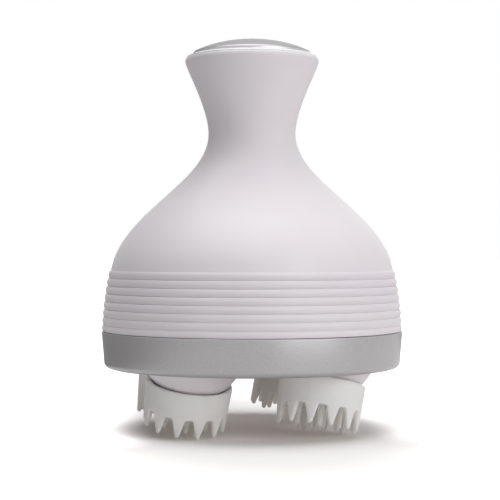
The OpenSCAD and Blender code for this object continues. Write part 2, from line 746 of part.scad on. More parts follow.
module gear_outline(teeth) {
    rp = gear_module * teeth / 2;
    rb = rp * cos(pressure_angle);
    tip_r = rp + gear_module;
    root_r = rp - 1.25 * gear_module;
    flank_steps = 4;
    start_r = max(rb, root_r) + 0.02;
    radii = [for (k = [0:flank_steps]) start_r + (tip_r - start_r) * k / flank_steps];
    polygon([for (t = [0:teeth - 1]) let (mid = 360 * t / teeth) each concat(
        [on_circle(root_r, mid - flank(teeth, start_r) - 0.4)],
        [for (r = radii) on_circle(r, mid - flank(teeth, r))],
        [for (k = [flank_steps:-1:0]) on_circle(radii[k], mid + flank(teeth, radii[k]))],
        [on_circle(root_r, mid + flank(teeth, start_r) + 0.4)])]);
}

// Toothed rim, thin pierced web and long hub; the middle of the teeth is at z = 0
module gear(teeth, bore_r, hub_out_r, hub_low, hub_high, holes) {
    rim_in_r = gear_module * (teeth / 2 - 1.25) - 1.9;
    hole_row = (rim_in_r + hub_out_r) / 2;
    hole_r = (rim_in_r - hub_out_r) / 2 - 0.7;
    difference() {
        union() {
            difference() {
                translate([0, 0, -gear_w / 2]) linear_extrude(gear_w) gear_outline(teeth);
                for (side = [0, 1]) mirror([0, 0, side]) translate([0, 0, gear_web_t / 2])
                    cylinder(r = rim_in_r, h = gear_w, $fn = 64);
                for (k = [1:holes]) rotate(360 * k / holes) translate([hole_row, 0, -gear_w])
                    cylinder(r = hole_r, h = 2 * gear_w, $fn = small_fn);
            }
            translate([0, 0, -hub_low]) cylinder(r = hub_out_r, h = hub_low + hub_high, $fn = 64);
        }
        translate([0, 0, -hub_low - eps])
            cylinder(r = bore_r, h = hub_low + hub_high + 2 * eps, $fn = 64);
    }
}

module drive_gear() {
    color("#e9e6dc") translate([0, 0, gear_mid_z])
        gear(drive_teeth, drive_shaft_r + press_gap, drive_shaft_r + 2.5, gear_mid_z - hub_z0,
             hub_z1 - gear_mid_z, 6);
}

module drive_shaft() {
    color(steel_colour) translate([0, 0, lower_z0 + 0.2])
        cylinder(r = drive_shaft_r, h = upper_z1 + reducer_h * 0.6 - lower_z0 - 0.2, $fn = 64);
}

module head_gear(i) {
    a = head_angle(i);
    mesh = a + 180 + (180 + a * drive_teeth) / head_teeth;
    color("#e9e6dc") at_head(i) translate([0, 0, gear_mid_z]) rotate(mesh)
        gear(head_teeth, shaft_r + press_gap, shaft_r + 1.8, gear_mid_z - hub_z0, hub_z1 - gear_mid_z, 5);
}

// Crank: the vertical shaft turns in the bushes, the inclined stub carries the cup
module crank_shaft(i) {
    knee_r = shaft_r + 0.6;
    thread_l = 7;
    collar_z = lower_z0 - seal_cup_t - 0.3;
    color(steel_colour) difference() {
        union() {
            at_head(i) translate([0, 0, swing_z]) {
                cylinder(r = shaft_r, h = upper_z1 + 0.6 - swing_z, $fn = 64);
                sphere(r = knee_r, $fn = 64);
                translate([0, 0, collar_z - 1 - swing_z]) cylinder(r = shaft_r + 1.4, h = 1, $fn = 64);
            }
            cup_frame(i) cylinder(r = stub_r, h = stub_d, $fn = 64);
        }
        cup_frame(i) {
            translate([stub_r - stub_flat, -stub_r, hub_boss_d - 1]) cube([stub_r, 2 * stub_r, stub_d]);
            translate([0, 0, stub_d - thread_l])
                cylinder(r = small_screw_r + run_gap, h = thread_l + eps, $fn = small_fn);
        }
    }
}

// Cups

// Stiff hub in the cup: hollow to clear the dome, with a boss that grips the stub
module claw_hub(i) {
    screw_floor_d = stub_d + 0.6;
    color(plastic_colour) cup_frame(i) difference() {
        rotate_extrude($fn = round_fn) {
            difference() {
                polygon([[0, 0], [hub_neck_r, 0], [hub_neck_r, hub_bottom_d - hub_flange_t],
                         [hub_r, hub_bottom_d - hub_flange_t], [hub_r, hub_bottom_d], [0, hub_bottom_d]]);
                circle(r = hub_in_r, $fn = round_fn);
            }
            translate([0, hub_boss_d]) square([hub_boss_r, hub_bottom_d - hub_boss_d - 0.2]);
        }
        difference() {
            translate([0, 0, hub_boss_d - eps]) cylinder(r = stub_r + 0.05, h = stub_d + eps - hub_boss_d, $fn = 64);
            translate([stub_r - stub_flat + 0.05, -stub_r - 1, 0]) cube([stub_r, 2 * stub_r + 2, stub_d + 1]);
        }
        cylinder(r = small_screw_r + 0.15, h = hub_bottom_d + eps, $fn = small_fn);
        translate([0, 0, screw_floor_d]) cylinder(r = 2.2, h = hub_bottom_d, $fn = small_fn);
    }
}

module hub_screw(i) {
    color(steel_colour) cup_frame(i) translate([0, 0, stub_d + 0.6])
        screw(small_screw_r, 6.5, 1.9, 0.9);
}

// Half section of the cup above the fingers
module cup_section() {
    lip_d = claw_rim_d + lip_r;
    difference() {
        union() {
            polygon([[0, lip_d], [claw_out(lip_d), lip_d], [claw_out(palm_d), palm_d], [0, palm_d]]);
            translate([claw_out(lip_d) - lip_r, lip_d]) circle(r = lip_r, $fn = small_fn);
        }
        circle(r = cup_in_r, $fn = round_fn);
        square([hub_neck_r + pocket_gap, hub_bottom_d]);
        translate([0, hub_bottom_d - hub_flange_t]) square([hub_r + pocket_gap, hub_flange_t]);
    }
}

// Half section of the drafted wall that the outer fingers are cut from
module finger_section() {
    top_d = palm_d - 1;
    polygon([[claw_out(top_d) - finger_root_t, top_d], [claw_out(top_d), top_d],
             [claw_out(tip_d), tip_d], [claw_out(tip_d) - finger_tip_t, tip_d]]);
    translate([tip_row_r, tip_d]) circle(r = tip_round, $fn = small_fn);
}

// One outer finger seen from outside: wide root, straight taper, round tip and round gaps
module finger_outline() {
    half_gap = claw_out(claw_root_d) * sin(finger_pitch / 2);
    half_root = claw_out(claw_root_d) * tan(finger_pitch / 2) + 0.05;
    gap_d = claw_root_d + finger_gap_r;
    round_d = claw_reach_d - finger_tip_w / 2;
    difference() {
        union() {
            translate([-half_root, palm_d - 2]) square([2 * half_root, gap_d - palm_d + 2]);
            polygon([[finger_gap_r - half_gap, gap_d], [-finger_tip_w / 2, round_d],
                     [finger_tip_w / 2, round_d], [half_gap - finger_gap_r, gap_d]]);
            translate([0, round_d]) circle(r = finger_tip_w / 2, $fn = small_fn);
        }
        for (side = [-1, 1]) translate([side * half_gap, gap_d]) circle(r = finger_gap_r, $fn = small_fn);
    }
}

module inner_finger() {
    rotate_extrude($fn = 24) intersection() {
        union() {
            polygon([[0, palm_d - 0.4], [pin_root_r, palm_d - 0.4],
                     [pin_tip_r, claw_reach_d - pin_tip_r], [0, claw_reach_d - pin_tip_r]]);
            translate([0, claw_reach_d - pin_tip_r]) circle(r = pin_tip_r, $fn = 24);
        }
        square([claw_r, claw_reach_d]);
    }
}

module claw_cup(i) {
    color(silicone_colour) cup_frame(i) {
        rotate_extrude($fn = round_fn) cup_section();
        intersection() {
            rotate_extrude($fn = round_fn) finger_section();
            for (k = [1:outer_fingers]) rotate(finger_phase + finger_pitch * k)
                translate([middle_row_r, 0, 0]) rotate([90, 0, 90])
                    linear_extrude(claw_r) finger_outline();
        }
        for (k = [1:middle_fingers]) rotate(finger_phase + finger_pitch / 2 + 360 / middle_fingers * k)
            translate([middle_row_r, 0, 0]) inner_finger();
        for (k = [1:centre_fingers]) rotate(finger_phase + 360 / centre_fingers * k)
            translate([centre_row_r, 0, 0]) inner_finger();
    }
}

// Drive and power

module reducer() {
    color("#4a4b4e") difference() {
        union() {
            translate([0, 0, upper_z1]) {
                cylinder(r = reducer_r, h = reducer_h, $fn = round_fn);
                cylinder(r = reducer_screw_row + 2.4, h = reducer_flange_h, $fn = round_fn);
            }
            translate([0, 0, upper_z0 + 0.6]) cylinder(r = pilot_r, h = plate_t, $fn = 64);
        }
        translate([0, 0, upper_z0]) cylinder(r = drive_shaft_r + run_gap, h = plate_t + reducer_h * 0.7, $fn = 64);
        reducer_ears() translate([0, 0, upper_z1 - eps]) cylinder(r = small_screw_r + 0.5, h = reducer_h, $fn = small_fn);
    }
}

module reducer_ears() {
    for (a = [30, 150, 270]) rotate(a) translate([reducer_screw_row, 0, 0]) children();
}

module reducer_screws() {
    color(steel_colour) reducer_ears() translate([0, 0, upper_z1 + reducer_flange_h])
        screw(small_screw_r + 0.3, reducer_flange_h + plate_t - 0.3, 1.4, 1.2);
}

module motor() {
    edge = 0.8;
    color("#8d8f92") translate([0, 0, reducer_z1]) {
        rotate_extrude($fn = round_fn) polygon([[0, 0], [motor_r, 0], [motor_r, motor_l - edge],
            [motor_r - edge, motor_l], [3.2, motor_l], [3.2, motor_l + motor_boss_h], [0, motor_l + motor_boss_h]]);
        for (side = [-1, 1]) translate([side * tab_row - tab_t / 2, -tab_w / 2, motor_l - eps])
            cube([tab_t, tab_w, motor_boss_h + eps]);
    }
}

// Frame that stands over the motor and holds the cell upright in the neck
module cell_frame() {
    skirt_in = motor_r + frame_gap;
    skirt_out = skirt_in + frame_wall;
    floor_z0 = cell_z0 - frame_floor_t;
    sleeve_l = cell_l - 4;
    color("#55565a") difference() {
        rotate_extrude($fn = round_fn) polygon([
            [skirt_in, reducer_z1], [skirt_out, reducer_z1], [skirt_out, floor_z0],
            [sleeve_r, cell_z0 + 2], [sleeve_r, cell_z0 + sleeve_l], [cell_r + slip_gap, cell_z0 + sleeve_l],
            [cell_r + slip_gap, cell_z0], [0, cell_z0], [0, floor_z0], [skirt_in, floor_z0]]);
        for (a = [45:90:315]) rotate(a) {
            translate([skirt_in - 1, -3.5, reducer_z1 + 4]) cube([3, 7, floor_z0 - reducer_z1 - 3.5]);
            translate([0, -2.5, cell_z0 + 5]) cube([skirt_out + 1, 5, sleeve_l - 9]);
        }
    }
}

module cell() {
    button_contact_r = 3;
    color("#2d6fb0") translate([0, 0, cell_z0]) rotate_extrude($fn = 64)
        polygon([[0, 0], [cell_r, 0], [cell_r, cell_l - 1.2], [button_contact_r, cell_l - 1.2],
                 [button_contact_r, cell_l], [0, cell_l]]);
}

module main_board() {
    size = main_board_size;
    top = size[2];
    color(board_colour) translate([0, main_board_y, upper_z1 + main_board_rise]) difference() {
        union() {
            translate([-size[0] / 2, -size[1] / 2, 0]) cube(size);
            translate([-5, -4.2, top - 0.2]) cube([5, 4, 1.7]);
            translate([2, -1.5, top - 0.2]) cylinder(r = 2.4, h = 3.2, $fn = small_fn);
            translate([-7, 1.2, top - 0.2]) cube([7, 4, 4.2]);
        }
        for (side = [-1, 1]) translate([side * (size[0] / 2 - 4), 0, -eps])
            cylinder(r = small_screw_r + 0.15, h = 3, $fn = small_fn);
    }
}

module main_board_screws() {
    color(steel_colour) board_feet() translate([0, 0, main_board_rise + main_board_size[2] + eps])
        screw(small_screw_r, main_board_size[2] + 3, small_head_r + 0.3, small_head_h);
}

module charging_socket() {
    color("#26262a") translate([0, 0, socket_z]) rotate([-90, 0, 0]) difference() {
        union() {
            translate([0, 0, socket_seat_y]) cylinder(r = socket_nose_r, h = socket_face_y - socket_seat_y, $fn = 64);
            translate([0, 0, socket_seat_y - socket_body_l]) cylinder(r = socket_flange_r, h = socket_body_l, $fn = 64);
        }
        translate([0, 0, socket_face_y - socket_depth])
            cylinder(r = socket_bore_r, h = socket_depth + eps, $fn = 64);
    }
}

// Leads: insulated wires laid in straight runs from part to part, a bead of sleeve over each bend
module lead(points, swell = bend_swell) {
    for (k = [1:len(points) - 1]) let (run = points[k] - points[k - 1], l = norm(run))
        translate(points[k - 1]) rotate([0, acos(run[2] / l), atan2(run[1], run[0])])
            cylinder(r = lead_r, h = l, $fn = small_fn);
    for (k = [1:len(points) - 2]) translate(points[k]) sphere(r = lead_r + swell, $fn = small_fn);
}

// Last run of a lead, from over the cell frame's foot to its pad on the main board
function to_pad(a, x) = [polar(skirt_run_r, a, motor_z1), [x, pad_y, main_board_z1 + pad_rise],
    [x, pad_y, main_board_z1]];

module motor_leads() {
    z = motor_z1 + 0.8;
    color("#a02c26") for (side = [-1, 1])
        lead([[side * tab_row, -tab_w / 2, z], [side * tab_row, -tab_w / 2 - 3.8, z],
              polar(motor_r + 3, side * 50 - 90, z), [side * pad_x(0), pad_y, main_board_z1 + pad_rise],
              [side * pad_x(0), pad_y, main_board_z1]], motor_bend_swell);
}

module cell_leads() {
    bend_z = cell_z0 + 4.7;
    color("#a02c26") {
        lead(concat([[0, -1.5, cell_z1], [0, -1.5, cell_z1 + 0.9], polar(neck_run_r, 255, cell_z1 + 0.9),
                     polar(neck_run_r, 255, bend_z)], to_pad(255, -pad_x(2))));
        lead(concat([polar(cell_r, 305, bend_z + 2), polar(neck_run_r + 0.3, 305, bend_z + 2)], to_pad(305, pad_x(2))));
    }
}

module switch_leads() {
    color("#26262a") for (lead_at = [[280, pad_x(4)], [290, pad_x(3)]])
        lead(concat([polar(neck_run_r, lead_at[0], board_z1 - board_t),
                     polar(neck_run_r, lead_at[0], cell_z0 + 4.7)], to_pad(lead_at[0], lead_at[1])));
}

main_shell();
silver_ring();
top_bezel();
bezel_seal();
power_button();
switch_plunger();
switch_board();
tact_switch();
switch_board_screws();
base_plate();
base_seal();
case_screws();
lower_gear_plate();
upper_gear_plate();
frame_screws();
shaft_seals();
lower_bushes();
upper_bushes();
drive_bush();
drive_gear();
drive_shaft();
reducer();
reducer_screws();
motor();
cell();
cell_frame();
main_board();
main_board_screws();
charging_socket();
motor_leads();
cell_leads();
switch_leads();
for (i = [1:4]) {
    claw_cup(i);
    claw_hub(i);
    hub_screw(i);
    crank_shaft(i);
    head_gear(i);
}
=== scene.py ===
import json
import math
import bmesh
import bpy
from mathutils import Matrix, Vector


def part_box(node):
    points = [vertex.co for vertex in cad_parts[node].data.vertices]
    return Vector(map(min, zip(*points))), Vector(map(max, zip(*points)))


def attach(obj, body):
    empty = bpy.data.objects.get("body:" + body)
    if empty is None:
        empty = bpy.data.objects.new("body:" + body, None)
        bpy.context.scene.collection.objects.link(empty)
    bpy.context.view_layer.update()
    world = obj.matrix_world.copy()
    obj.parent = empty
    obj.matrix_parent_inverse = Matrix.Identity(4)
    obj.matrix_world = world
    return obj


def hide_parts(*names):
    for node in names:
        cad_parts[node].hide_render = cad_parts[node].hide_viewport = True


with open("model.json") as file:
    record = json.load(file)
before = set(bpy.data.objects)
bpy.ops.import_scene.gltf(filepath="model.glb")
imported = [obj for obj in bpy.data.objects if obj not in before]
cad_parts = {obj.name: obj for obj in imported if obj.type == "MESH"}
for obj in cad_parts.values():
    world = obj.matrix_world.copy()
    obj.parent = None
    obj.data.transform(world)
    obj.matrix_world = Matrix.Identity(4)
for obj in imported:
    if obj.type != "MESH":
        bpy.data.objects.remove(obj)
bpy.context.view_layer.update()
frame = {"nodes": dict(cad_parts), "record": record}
print("frame: loaded", len(frame["nodes"]), "parts")

mm = 0.001


# materials

def hexColour(code):
    # sRGB hex turned to the linear values that the shaders work in
    parts = [int(code[k:k + 2], 16) / 255 for k in (1, 3, 5)]
    return [p / 12.92 if p <= 0.04045 else ((p + 0.055) / 1.055) ** 2.4 for p in parts] + [1]


def addNode(tree, kind, settings=None, links=None):
    node = tree.nodes.new(kind)
    for name, value in (settings or {}).items():
        if isinstance(name, int) or name in node.inputs:
            node.inputs[name].default_value = value
        else:
            setattr(node, name, value)
    for name, source in (links or {}).items():
        tree.links.new(source, node.inputs[name])
    return node


def startMaterial(name, look):
    material = bpy.data.materials.new(name)
    material.use_nodes = True
    tree = material.node_tree
    tree.nodes.clear()
    shader = addNode(tree, "ShaderNodeBsdfPrincipled", look)
    addNode(tree, "ShaderNodeOutputMaterial", links={"Surface": shader.outputs["BSDF"]})
    place = addNode(tree, "ShaderNodeTexCoord").outputs["Object"]
    return material, tree, shader, place


def grainScale(size):
    # noise scale for grains of that size in millimetres
    return 1 / (size * mm)


toneEnds = (0.35, 0.65)


def mottle(tree, shader, place, colours, size):
    # slow change of tone between two close colours
    noise = addNode(tree, "ShaderNodeTexNoise", {"Scale": grainScale(size)}, {"Vector": place})
    ramp = addNode(tree, "ShaderNodeValToRGB", links={"Fac": noise.outputs["Fac"]})
    for element, spot, code in zip(ramp.color_ramp.elements, toneEnds, colours):
        element.position = spot
        element.color = hexColour(code)
    tree.links.new(ramp.outputs["Color"], shader.inputs["Base Color"])


def relief(tree, shader, height, depth, strength=1):
    # bumps of that depth in millimetres
    bump = addNode(tree, "ShaderNodeBump", {"Strength": strength, "Distance": depth * mm}, {"Height": height})
    tree.links.new(bump.outputs["Normal"], shader.inputs["Normal"])


def grain(tree, shader, place, size, depth):
    noise = addNode(tree, "ShaderNodeTexNoise", {"Scale": grainScale(size), "Detail": 1}, {"Vector": place})
    relief(tree, shader, noise.outputs["Fac"], depth)


softTouchLook = {"colours": ("#e8e1e7", "#ece6ea"), "patch": 30, "grain": 0.35, "depth": 0.006,
                 "roughness": 0.5, "sheen": 0.08, "sheenRoughness": 0.4}


def softTouchLacquer():
    # ABS moulding with a soft-touch lacquer: broad soft highlight, faint even grain
    look = softTouchLook
    material, tree, shader, place = startMaterial("softTouchLacquerOnAbs", {
        "Roughness": look["roughness"], "IOR": 1.5, "Sheen Weight": look["sheen"],
        "Sheen Roughness": look["sheenRoughness"]})
    mottle(tree, shader, place, look["colours"], look["patch"])
    grain(tree, shader, place, look["grain"], look["depth"])
    return material


flakeLook = {"size": 0.14, "depth": 0.003, "relief": 0.6, "coat": 0.1, "coatRoughness": 0.35}
ringPaintLook = {"colours": ("#a5a3a5", "#b4b2b4"), "edge": 0.7, "metal": 0.4, "roughness": 0.3}
# painted shade: the cap's copy of the silver paint is darker than the ring's, toning down the light its dome
# catches
capShadedPaintLook = {"colours": ("#918f91", "#9f9d9f"), "edge": 0.9, "metal": 0.75, "roughness": 0.36}


def silverPaint(name, look):
    # sprayed silver paint on ABS: satin metal tone with a fine sparkle; the flakes are drawn
    # about five times coarser than real ones so that they show
    material, tree, shader, place = startMaterial(name, {
        "Metallic": look["metal"], "Roughness": look["roughness"], "Specular Tint": [look["edge"]] * 3 + [1],
        "Coat Weight": flakeLook["coat"], "Coat Roughness": flakeLook["coatRoughness"]})
    flakes = addNode(tree, "ShaderNodeTexVoronoi", {"Scale": grainScale(flakeLook["size"])},
                     {"Vector": place})
    tone = addNode(tree, "ShaderNodeSeparateColor", links={"Color": flakes.outputs["Color"]})
    ramp = addNode(tree, "ShaderNodeValToRGB", links={"Fac": tone.outputs["Red"]})
    for element, code in zip(ramp.color_ramp.elements, look["colours"]):
        element.color = hexColour(code)
    tree.links.new(ramp.outputs["Color"], shader.inputs["Base Color"])
    relief(tree, shader, tone.outputs["Green"], flakeLook["depth"], flakeLook["relief"])
    return material


def paintHighlightBelow(material, height, blend, colour):
    # painted highlight: the paint is lighter below that height, blended into the paint over a short step,
    # standing in for the front light's reflection on the button's band
    tree = material.node_tree
    shader = next(node for node in tree.nodes if node.type == "BSDF_PRINCIPLED")
    place = addNode(tree, "ShaderNodeTexCoord").outputs["Object"]
    up = addNode(tree, "ShaderNodeSeparateXYZ", links={0: place}).outputs["Z"]
    share = addNode(tree, "ShaderNodeMapRange", {"From Min": (height - blend) * mm, "From Max": height * mm,
                                                 "To Min": 1, "To Max": 0}, {"Value": up})
    paint = shader.inputs["Base Color"].links[0].from_socket
    mixed = addNode(tree, "ShaderNodeMixRGB", {"Color2": hexColour(colour)},
                    {"Fac": share.outputs[0], "Color1": paint})
    tree.links.new(mixed.outputs[0], shader.inputs["Base Color"])


polishedLook = {"colours": ("#f1eff1", "#f5f3f5"), "patch": 12, "grain": 2.5, "depth": 0.004,
                "roughness": 0.25}


def polishedAbs():
    # white ABS from a polished mould: clean tight highlight
    look = polishedLook
    material, tree, shader, place = startMaterial("polishedWhiteAbs", {
        "Roughness": look["roughness"], "IOR": 1.53})
    mottle(tree, shader, place, look["colours"], look["patch"])
    grain(tree, shader, place, look["grain"], look["depth"])
    return material


siliconeLook = {"colours": ("#f8f4f1", "#fbf7f4"), "patch": 8, "grain": 0.3, "depth": 0.01, "roughness": 0.55,
                "glow": 2.5, "glowShare": 0.8, "glowTint": (1.0, 0.96, 0.92)}


def mouldedSilicone():
    # translucent liquid silicone from a blasted mould: matt, light glows through the thin fingers
    look = siliconeLook
    material, tree, shader, place = startMaterial("mouldedSilicone", {
        "Roughness": look["roughness"], "IOR": 1.41, "Subsurface Weight": look["glowShare"],
        "Subsurface Scale": look["glow"] * mm, "Subsurface Radius": look["glowTint"]})
    mottle(tree, shader, place, look["colours"], look["patch"])
    grain(tree, shader, place, look["grain"], look["depth"])
    return material


mouldedLook = {"patch": 6, "depth": 0.01}


def mouldedPlastic(name, colours, roughness, grainSize):
    # plain moulded nylon, acetal or ABS of the inner parts: slight mould texture
    material, tree, shader, place = startMaterial(name, {"Roughness": roughness, "IOR": 1.5})
    mottle(tree, shader, place, colours, mouldedLook["patch"])
    grain(tree, shader, place, grainSize, mouldedLook["depth"])
    return material


turnedLook = {"patch": 3, "waver": 0.6, "relief": 0.3, "depth": 0.01}


def turnedMetal(name, colours, roughness, spacing):
    # turned and plated metal: fine rings left by the tool, their spacing in millimetres;
    # the wave node draws its bands twenty times closer than its scale says
    look = turnedLook
    material, tree, shader, place = startMaterial(name, {"Metallic": 1.0, "Roughness": roughness})
    mottle(tree, shader, place, colours, look["patch"])
    rings = addNode(tree, "ShaderNodeTexWave", {"bands_direction": "Z", "Scale": grainScale(spacing) / 20,
                                                "Distortion": look["waver"]}, {"Vector": place})
    relief(tree, shader, rings.outputs["Fac"], look["depth"], look["relief"])
    return material


boardLook = {"colours": ("#1d6b3a", "#237a45"), "patch": 5, "weave": 0.5, "depth": 0.01, "roughness": 0.3}


def circuitBoard():
    # glass-epoxy board under solder mask: weave just shows through the gloss
    look = boardLook
    material, tree, shader, place = startMaterial("maskedCircuitBoard", {
        "Roughness": look["roughness"], "IOR": 1.55})
    mottle(tree, shader, place, look["colours"], look["patch"])
    grain(tree, shader, place, look["weave"], look["depth"])
    return material


slotLooks = {
    "housing_plastic": softTouchLacquer(),
    "silver_paint": silverPaint("silverPaintOnRing", ringPaintLook),
    "bezel_plastic": polishedAbs(),
    "silicone": mouldedSilicone(),
    "seal_rubber": mouldedPlastic("mouldedSealRubber", ("#26262a", "#303034"), 0.6, 0.3),
    "black_plastic": mouldedPlastic("mouldedBlackNylon", ("#1d1d20", "#26262a"), 0.45, 0.4),
    "reducer_plastic": mouldedPlastic("mouldedGreyAcetal", ("#45464a", "#505156"), 0.4, 0.4),
    "frame_plastic": mouldedPlastic("mouldedNaturalAbs", ("#d9d6d0", "#dfdcd7"), 0.5, 0.4),
    "gear_plastic": mouldedPlastic("mouldedAcetal", ("#e8e4d8", "#eeeae0"), 0.35, 0.4),
    "lead_plastic": mouldedPlastic("leadInsulation", ("#a02420", "#ac2c27"), 0.4, 0.6),
    "cell_wrap": mouldedPlastic("shrinkWrapFilm", ("#2a6aa8", "#3072b2"), 0.25, 2.0),
    "board": circuitBoard(),
    "bush_brass": turnedMetal("turnedBrass", ("#c9a95c", "#d2b366"), 0.3, 0.15),
    "steel": turnedMetal("turnedPlatedSteel", ("#b3b5b7", "#bfc1c3"), 0.28, 0.2),
    "motor_steel": turnedMetal("drawnZincPlatedSteel", ("#9fa2a5", "#abaeb1"), 0.35, 0.4),
}
nodeSlots = {part["node"]: part["material_slot"] for part in frame["record"]["subparts"]}
for node, piece in frame["nodes"].items():
    piece.data.materials.clear()
    piece.data.materials.append(slotLooks[nodeSlots[node]])
print("materials:", len(slotLooks))


# mesh helpers, all in millimetres

def finishPiece(name, mesh, body, slotName, nodes, sharp=38):
    # turns a bmesh into a piece that rides on its body and stands for its parts
    bmesh.ops.recalc_face_normals(mesh, faces=mesh.faces)
    data = bpy.data.meshes.new(name)
    mesh.to_mesh(data)
    mesh.free()
    data.transform(Matrix.Scale(mm, 4))
    data.shade_smooth()
    data.set_sharp_from_angle(angle=math.radians(sharp))
    piece = bpy.data.objects.new(name, data)
    bpy.context.scene.collection.objects.link(piece)
    data.materials.append(slotLooks[slotName])
    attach(piece, body)
    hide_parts(*nodes)
    return piece


def turn(mesh, profile, steps, matrix=Matrix()):
    # closed profile of (radius, height) points turned round the local Z axis
    rows = []
    for radius, height in profile:
        if radius < 1e-6:
            rows.append([mesh.verts.new(matrix @ Vector((0, 0, height)))] * steps)
        else:
            rows.append([mesh.verts.new(matrix @ Vector((radius * math.cos(a), radius * math.sin(a), height)))
                         for a in (2 * math.pi * k / steps for k in range(steps))])
    for low, high in zip(rows, rows[1:] + rows[:1]):
        for k in range(steps):
            corners = []
            for vert in (low[k], low[(k + 1) % steps], high[(k + 1) % steps], high[k]):
                if vert not in corners:
                    corners.append(vert)
            if len(corners) > 2:
                mesh.faces.new(corners)


def arc(centre, radius, start, end, steps):
    # points on an arc, angles in degrees
    angles = [math.radians(start + (end - start) * k / steps) for k in range(steps + 1)]
    return [(centre[0] + radius * math.cos(a), centre[1] + radius * math.sin(a)) for a in angles]


def bezier(handles, steps):
    points = []
    for k in range(steps + 1):
        t = k / steps
        weights = ((1 - t) ** 3, 3 * (1 - t) ** 2 * t, 3 * (1 - t) * t * t, t ** 3)
        points.append(tuple(sum(w * h[axis] for w, h in zip(weights, handles)) for axis in (0, 1)))
    return points


def inset(points, wall):
    # the same line moved towards the axis by the wall
    moved = []
    for k, (r, z) in enumerate(points):
        before, after = points[max(k - 1, 0)], points[min(k + 1, len(points) - 1)]
        run, rise = after[0] - before[0], after[1] - before[1]
        length = math.hypot(run, rise)
        moved.append((r - wall * rise / length, z + wall * run / length))
    return moved


def topOf(node):
    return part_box(node)[1].z / mm


def bottomOf(node):
    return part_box(node)[0].z / mm


# housing: ribbed skirt, dome, waist and flared top

housing = {
    "ringRadius": 46.2, "crestInset": 0.1, "footInset": 0.15, "jointGap": 0.15,
    "ribs": 8, "ribPitch": 2.34, "ribDepth": 0.4, "ribTaper": 1.9, "taperCurve": 1.6, "ribHide": 0.25,
    "firstRibStart": 0.72, "ribEnd": 0.985, "ribSteps": 9,
    "domeStep": 0.7, "skirtPull": 19, "skirtLean": 11, "skirtSteps": 60,
    "neckRadius": 13.45, "neckRise": 42.1, "neckPull": 15,
    "flareRadius": 20.6, "flareRise": 22.3, "flarePull": 8, "flareEndPull": 2, "flareSteps": 36,
    "shoulderRadius": 1.6, "shoulderHeight": 1.1, "shoulderSteps": 8,
    "wall": 2.2, "boreRadius": 17.6, "boreRim": 1.5, "skirtInsideRise": 3,
    "spigotRadius": 43.7, "spigotWall": 1.8, "spigotRise": 1.5, "sharp": 24, "steps": 256,
}


def crestRadius(k):
    h = housing
    return h["ringRadius"] - h["crestInset"] - h["ribTaper"] * (k / (h["ribs"] - 1)) ** h["taperCurve"]


def housingOutline():
    h = housing
    ringTop = topOf("silver_ring")
    ribBase = ringTop - h["ribHide"]
    bulge = (h["ribPitch"] ** 2 / 4 + h["ribDepth"] ** 2) / (2 * h["ribDepth"])
    half = math.degrees(math.asin(h["ribPitch"] / 2 / bulge))
    ribLine = [(crestRadius(0) - h["footInset"], ringTop + h["jointGap"])]
    for k in range(h["ribs"]):
        centre = (crestRadius(k) - bulge, ribBase + (k + 0.5) * h["ribPitch"])
        low = -half if k else -half * h["firstRibStart"]
        ribLine += arc(centre, bulge, low, half * h["ribEnd"], h["ribSteps"])[0 if k else 1:]
    domeEdge = crestRadius(h["ribs"] - 1) - h["domeStep"]
    ribTop = ribBase + h["ribs"] * h["ribPitch"]
    neckZ = ribTop + h["neckRise"]
    flareZ = neckZ + h["flareRise"]
    lean = math.radians(h["skirtLean"])
    skirtLine = bezier([(domeEdge, ribTop),
                        (domeEdge - h["skirtPull"] * math.sin(lean),
                         ribTop + h["skirtPull"] * math.cos(lean)),
                        (h["neckRadius"], neckZ - h["neckPull"]),
                        (h["neckRadius"], neckZ)], h["skirtSteps"])
    flareLine = bezier([(h["neckRadius"], neckZ),
                        (h["neckRadius"], neckZ + h["flarePull"]),
                        (h["flareRadius"], flareZ - h["flareEndPull"]),
                        (h["flareRadius"], flareZ)], h["flareSteps"])
    shoulderLine = arc((h["flareRadius"] - h["shoulderRadius"], flareZ), h["shoulderRadius"], 0,
                       math.degrees(math.asin(h["shoulderHeight"] / h["shoulderRadius"])), h["shoulderSteps"])
    return ribLine, skirtLine, flareLine[1:], shoulderLine[1:]


def makeHousing():
    h = housing
    ribLine, skirtLine, flareLine, shoulderLine = housingOutline()
    foot = ribLine[0][1]
    top = shoulderLine[-1][1]
    seat = bottomOf("main_shell")
    inside = inset(skirtLine[::3] + flareLine[2::3], h["wall"])
    inner = [(min(r, h["boreRadius"]), z) for r, z in inside if z < top - h["boreRim"]]
    profile = ([(h["spigotRadius"], seat), (h["spigotRadius"], foot)]
               + ribLine + skirtLine + flareLine + shoulderLine
               + [(h["boreRadius"], top)] + inner[::-1]
               + [(crestRadius(0) - h["ribDepth"] - h["wall"], foot + h["skirtInsideRise"]),
                  (h["spigotRadius"] - h["spigotWall"], foot + h["spigotRise"]),
                  (h["spigotRadius"] - h["spigotWall"], seat)])
    mesh = bmesh.new()
    turn(mesh, profile, h["steps"])
    return finishPiece("housingShell", mesh, "housing", "housing_plastic", ["main_shell"],
                       sharp=h["sharp"])


housingShell = makeHousing()

recess = {"radius": 4.1, "mouthRadius": 4.9, "start": 30, "end": 50, "edge": 0.001, "steps": 64}


